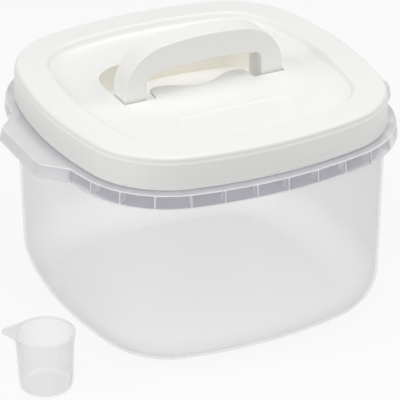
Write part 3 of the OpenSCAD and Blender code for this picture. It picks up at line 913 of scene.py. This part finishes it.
def web_grid():
    """Upright and level webs as boxes, joined to one grid."""
    grid = None
    for k in WEB_COLUMNS:
        low = (k * WEB_PITCH - WEB_T / 2, -HANDLE_D, FINGER_Z)
        web = box_piece("web", low, (k * WEB_PITCH + WEB_T / 2, HANDLE_D, CROWN_Z))
        grid = join_cut(grid, web) if grid else web
    for k in range(WEB_ROWS):
        low_z = PANEL_Z + WEB_LOW + k * FINGER_H / 2
        low = (-HANDLE_W / 2, -HANDLE_D, low_z)
        grid = join_cut(grid, box_piece("web", low, (HANDLE_W / 2, HANDLE_D, low_z + WEB_T)))
    return grid


bm = handle_block(0, HANDLE_FRONT, -HANDLE_FRONT)
front_edges = [
    edge for edge in bm.edges
    if all(abs(vert.co.y - HANDLE_FRONT * MM) < MERGE for vert in edge.verts)
]
bmesh.ops.bevel(
    bm, geom=front_edges, offset=HANDLE_EDGE_R * MM, offset_type="OFFSET",
    segments=HANDLE_EDGE_STEPS, profile=0.5, affect="EDGES", material=-1,
)
handle = as_piece("white_handle", bm)
join_cut(handle, side_view("side_view", -HANDLE_W, HANDLE_W), "INTERSECT")
hollow = as_piece("hollow", handle_block(HANDLE_T, HANDLE_FRONT + HANDLE_T, HANDLE_D))
top_half = box_piece(
    "top_half", (-HANDLE_W, -HANDLE_D, HINGE_Z + PIN_R + HOLLOW_LIFT),
    (HANDLE_W, 2 * HANDLE_D, CROWN_Z + PAST_CROWN),
)
join_cut(hollow, top_half, "INTERSECT")
join_cut(handle, hollow, "DIFFERENCE")
webs = as_piece("webs", handle_block(HANDLE_T / 2, HANDLE_FRONT + HANDLE_T / 2, WEB_BACK))
join_cut(webs, web_grid(), "INTERSECT")
join_cut(handle, webs)
pin_root = HANDLE_W / 2 - OVERLAP
for low, high in ((pin_root, BOSS_FACE), (-BOSS_FACE, -pin_root)):
    join_cut(handle, bar_along_x("pin", low, high, PIN_R))
smooth_off(handle)
handle.data.materials.clear()
handle.data.materials.append(white_plastic("handle_polypropylene", HANDLE_WHITE, HANDLE_ROUGHNESS))
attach(handle, "handle")
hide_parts("handle")

# --------------------------------------------------------------------------------------------------
# Measuring cup. Thin clear polypropylene, a separate moulding that stands beside the tub: tapered,
# with a small bead round its rim and a flat, leaf-shaped tab to hold it by.
# --------------------------------------------------------------------------------------------------
CUP_TOP_R = 28.2
CUP_BASE_R = 24.6
CUP_H = 56.8
CUP_WALL = 1.3
CUP_FOOT_R = 4.0
CUP_LIP = 0.8
CUP_LIP_H = 2.4
CUP_STEPS = 96
CUP_CUT_H = 20.0
TAB_REACH = 11.5
TAB_TIP_R = 4.5
TAB_ANGLE = math.radians(149)
TAB_T = 1.6
CUP_PLACE = Vector((-212.0, -103.5, 0.0))
CUP_TINT = (0.97, 0.97, 0.975)
LIP_TINT = (0.88, 0.88, 0.89)
LIP_SLOT = 1


def cup_section():
    """The cup: out over its foot, up the outside, over the bead and down the inside."""
    under = CUP_H - CUP_LIP_H
    return rounded([
        (0, 0, 0), (CUP_BASE_R, 0, CUP_FOOT_R), (CUP_TOP_R - CUP_LIP, under, 0),
        (CUP_TOP_R, under + CUP_LIP / 2, CUP_LIP / 4), (CUP_TOP_R, CUP_H, EDGE_R),
        (CUP_TOP_R - CUP_LIP - CUP_WALL, CUP_H, EDGE_R),
        (CUP_BASE_R - CUP_WALL, CUP_WALL, CUP_FOOT_R - CUP_WALL / 2), (0, CUP_WALL, 0),
    ], steps=6)


def cup_tab():
    """The tab, cut off where the inside of the cup begins."""
    root_r = CUP_TOP_R - EDGE_R
    narrow = math.asin((root_r - TAB_TIP_R) / (CUP_TOP_R + TAB_REACH - TAB_TIP_R))
    root = Vector((math.sin(narrow), math.cos(narrow))) * root_r
    outline = rounded([
        (root.x, -root.y, 0), (root_r / math.sin(narrow), 0, TAB_TIP_R), (root.x, root.y, 0),
    ], steps=8)
    tab = slab("tab", outline, CUP_H - TAB_T, CUP_H)
    bm = round_bar(CUP_TOP_R - CUP_WALL, CUP_CUT_H, CUP_STEPS)
    bmesh.ops.translate(bm, verts=bm.verts, vec=(0, 0, CUP_H * MM))
    return join_cut(tab, as_piece("cup_inside", bm), "DIFFERENCE")


bm = bmesh.new()
verts = [bm.verts.new(Vector((x, 0, z)) * MM) for x, z in cup_section()]
edges = [bm.edges.new(pair) for pair in zip(verts, verts[1:])]
bmesh.ops.spin(
    bm, geom=verts + edges, cent=(0, 0, 0), axis=(0, 0, 1), dvec=(0, 0, 0), angle=2 * math.pi,
    steps=CUP_STEPS, use_merge=True, use_normal_flip=False, use_duplicate=False,
)
bmesh.ops.remove_doubles(bm, verts=bm.verts, dist=MERGE)
cup = as_piece("clear_cup", bm)
join_cut(cup, turned(cup_tab(), TAB_ANGLE))
cup.data.transform(Matrix.Translation(CUP_PLACE * MM))
smooth_off(cup)
cup.data.materials.clear()
cup.data.materials.append(
    clear_plastic("cup_polypropylene", CUP_TINT, 0.25, veil=0.1, edge_veil=0.6)
)
cup.data.materials.append(
    clear_plastic("lip_polypropylene", LIP_TINT, 0.3, veil=0.5, edge_veil=0.7)
)
for face in cup.data.polygons:
    if face.center.z > (CUP_H - CUP_LIP_H - NEAR) * MM and abs(face.normal.z) > TILTED:
        face.material_index = LIP_SLOT
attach(cup, "measuring_cup")
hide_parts("measuring_cup")

# --------------------------------------------------------------------------------------------------
# Studio. A plain white floor that runs into a white surround, wide soft lamps above, in front and
# on both sides, and the camera.
# --------------------------------------------------------------------------------------------------
CAMERA_AT = Vector((-947.66, -1824.42, 1185.31))
CAMERA_AIM = Vector((1.15, 0.0, 91.4))
FOCAL_PX = 2392.9
FRAME_PX = 400.0
SENSOR = 36.0
FLOOR_HALF = 6.0  # metres, as are the lamps' places and sizes
FLOOR_DROP = 0.3
FLOOR_TINT = (0.82, 0.82, 0.82)
FLOOR_GLOW = 0.88  # how much of what the camera sees of the floor is plain white
AMBIENT = 0.14
LAMP_AIM = Vector((0, 0, 0.15))
LAMPS = (
    ("top_lamp", (0.0, 0.0, 2.2), (1.8, 1.8), 12.7),
    ("front_lamp", (-0.5, -1.5, 1.9), (1.6, 1.2), 17.0),
    ("right_lamp", (1.5, -0.6, 1.4), (1.2, 1.2), 11.5),
    ("left_lamp", (-1.7, 0.1, 1.4), (1.2, 1.2), 14.0),
)


def seen_straight(tree):
    """1 for a ray that comes from the camera, a gloss or clear plastic, 0 for one that lights."""
    path = tree.nodes.new("ShaderNodeLightPath")
    most = path.outputs["Is Camera Ray"]
    for ray in ("Is Glossy Ray", "Is Transmission Ray"):
        pick = tree.nodes.new("ShaderNodeMath")
        pick.operation = "MAXIMUM"
        tree.links.new(most, pick.inputs[0])
        tree.links.new(path.outputs[ray], pick.inputs[1])
        most = pick.outputs[0]
    return most


def aimed(thing, target):
    """Turns a lamp or the camera to look at a spot, and puts it into the scene."""
    thing.rotation_euler = (target - thing.location).to_track_quat("-Z", "Y").to_euler()
    bpy.context.scene.collection.objects.link(thing)


bm = bmesh.new()
bmesh.ops.create_grid(bm, x_segments=1, y_segments=1, size=FLOOR_HALF)
bmesh.ops.translate(bm, verts=bm.verts, vec=(0, 0, -FLOOR_DROP * MM))
floor_mesh = bpy.data.meshes.new("studio_floor")
bm.to_mesh(floor_mesh)
bm.free()
floor = bpy.data.objects.new("studio_floor", floor_mesh)
bpy.context.scene.collection.objects.link(floor)
paint = bpy.data.materials.new("studio_floor")
paint.use_nodes = True
nodes, links = paint.node_tree.nodes, paint.node_tree.links
nodes.remove(nodes["Principled BSDF"])
matt = nodes.new("ShaderNodeBsdfDiffuse")
matt.inputs["Color"].default_value = (*FLOOR_TINT, 1)
glow = nodes.new("ShaderNodeEmission")
glow.inputs["Strength"].default_value = 1
share = nodes.new("ShaderNodeMath")
share.operation = "MULTIPLY"
share.inputs[1].default_value = FLOOR_GLOW
links.new(seen_straight(paint.node_tree), share.inputs[0])
mix = nodes.new("ShaderNodeMixShader")
links.new(share.outputs[0], mix.inputs["Fac"])
links.new(matt.outputs["BSDF"], mix.inputs[1])
links.new(glow.outputs["Emission"], mix.inputs[2])
links.new(mix.outputs["Shader"], nodes["Material Output"].inputs["Surface"])
floor.data.materials.append(paint)

world = bpy.context.scene.world or bpy.data.worlds.new("surround")
bpy.context.scene.world = world
world.use_nodes = True
nodes, links = world.node_tree.nodes, world.node_tree.links
level = nodes.new("ShaderNodeMapRange")
level.inputs["To Min"].default_value = AMBIENT
level.inputs["To Max"].default_value = 1
links.new(seen_straight(world.node_tree), level.inputs["Value"])
nodes["Background"].inputs["Color"].default_value = (1, 1, 1, 1)
links.new(level.outputs["Result"], nodes["Background"].inputs["Strength"])

for name, place, size, power in LAMPS:
    lamp = bpy.data.objects.new(name, bpy.data.lights.new(name, "AREA"))
    lamp.data.shape = "RECTANGLE"
    lamp.data.size, lamp.data.size_y = size
    lamp.data.energy = power
    lamp.location = place
    aimed(lamp, LAMP_AIM)

camera = bpy.data.objects.new("camera", bpy.data.cameras.new("camera"))
camera.data.sensor_width = SENSOR
camera.data.lens = FOCAL_PX / FRAME_PX * SENSOR
camera.location = CAMERA_AT * MM
aimed(camera, CAMERA_AIM * MM)
bpy.context.scene.camera = camera
bpy.context.scene.view_settings.view_transform = "Standard"
